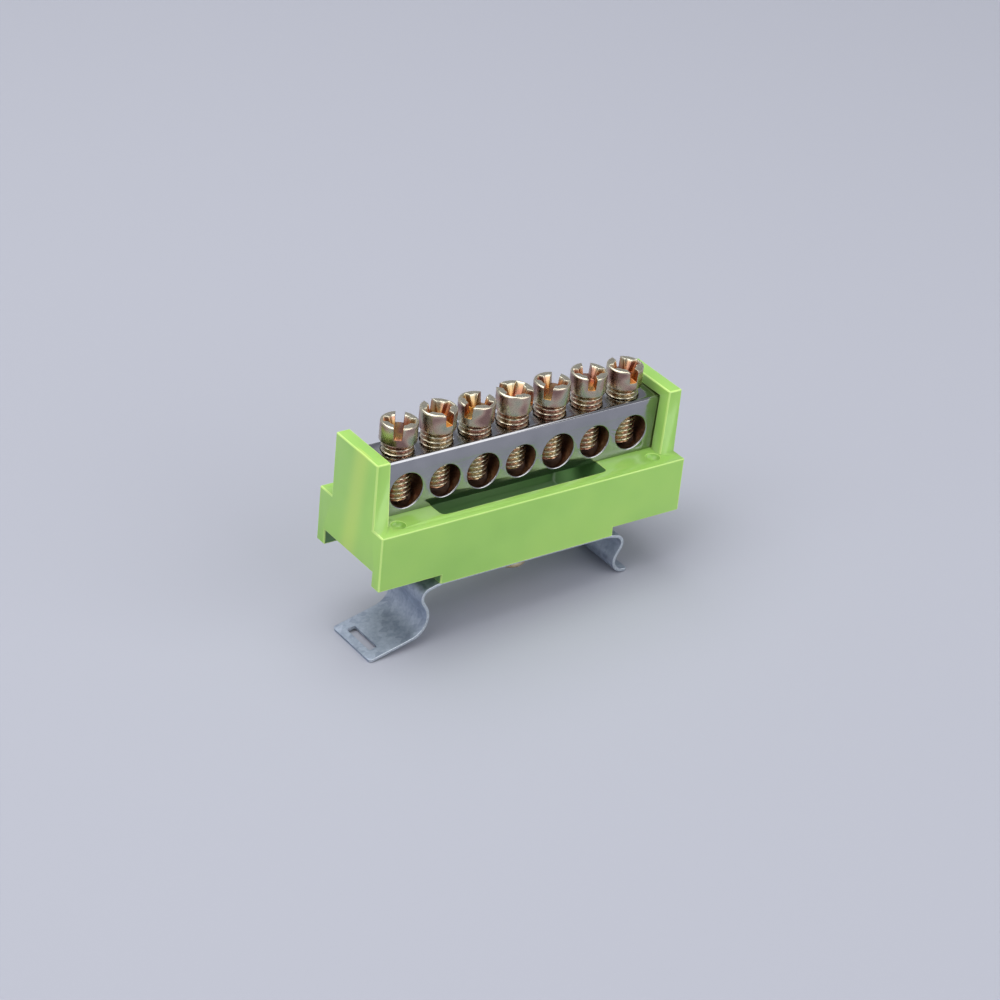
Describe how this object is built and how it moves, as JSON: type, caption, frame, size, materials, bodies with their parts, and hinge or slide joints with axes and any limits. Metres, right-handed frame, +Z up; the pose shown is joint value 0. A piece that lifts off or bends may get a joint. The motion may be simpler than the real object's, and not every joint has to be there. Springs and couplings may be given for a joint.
{
  "type": "earth terminal bar",
  "caption": "Earth terminal bar: a drilled metal bar with clamping screws, held between the posts of a moulded base, with a spring clip for a top-hat rail.",
  "frame": {"origin": "centre of the spring clip, on the flat underside of its web, that faces the rail", "axes": "+X along the bar from the release tongue to the short foot, -Y to the front, where the wires enter, +Z up from the rail to the screws"},
  "size_m": [0.0553, 0.0173, 0.0361],
  "materials": {
    "green_plastic": "glossy moulded",
    "nickel_plate": "bright nickel plate",
    "passivated_steel": "yellow-passivated zinc plate",
    "galvanised_steel": "galvanised",
    "rivet_brass": "satin"
  },
  "bodies": {
    "bar_and_base": {"base": "green_plastic", "terminal_bar": "nickel_plate", "rail_clip": "galvanised_steel", "clip_rivet": "rivet_brass"},
    "screw_1": {"screw_1": "passivated_steel"},
    "screw_2": {"screw_2": "passivated_steel"},
    "screw_3": {"screw_3": "passivated_steel"},
    "screw_4": {"screw_4": "passivated_steel"},
    "screw_5": {"screw_5": "passivated_steel"},
    "screw_6": {"screw_6": "passivated_steel"},
    "screw_7": {"screw_7": "passivated_steel"}
  },
  "joints": [
    {"name": "screw_1_travel", "type": "slide", "parent": "bar_and_base", "child": "screw_1", "axis": [0, 0, 1], "range_m": [-0.00055, 0.00535]},
    {"name": "screw_2_travel", "type": "slide", "parent": "bar_and_base", "child": "screw_2", "axis": [0, 0, 1], "range_m": [-0.0011, 0.0046]},
    {"name": "screw_3_travel", "type": "slide", "parent": "bar_and_base", "child": "screw_3", "axis": [0, 0, 1], "range_m": [-0.00075, 0.00515]},
    {"name": "screw_4_travel", "type": "slide", "parent": "bar_and_base", "child": "screw_4", "axis": [0, 0, 1], "range_m": [-0.001, 0.0047]},
    {"name": "screw_5_travel", "type": "slide", "parent": "bar_and_base", "child": "screw_5", "axis": [0, 0, 1], "range_m": [-0.0009, 0.005]},
    {"name": "screw_6_travel", "type": "slide", "parent": "bar_and_base", "child": "screw_6", "axis": [0, 0, 1], "range_m": [-0.00095, 0.00475]},
    {"name": "screw_7_travel", "type": "slide", "parent": "bar_and_base", "child": "screw_7", "axis": [0, 0, 1], "range_m": [-0.0006, 0.0053]}
  ]
}
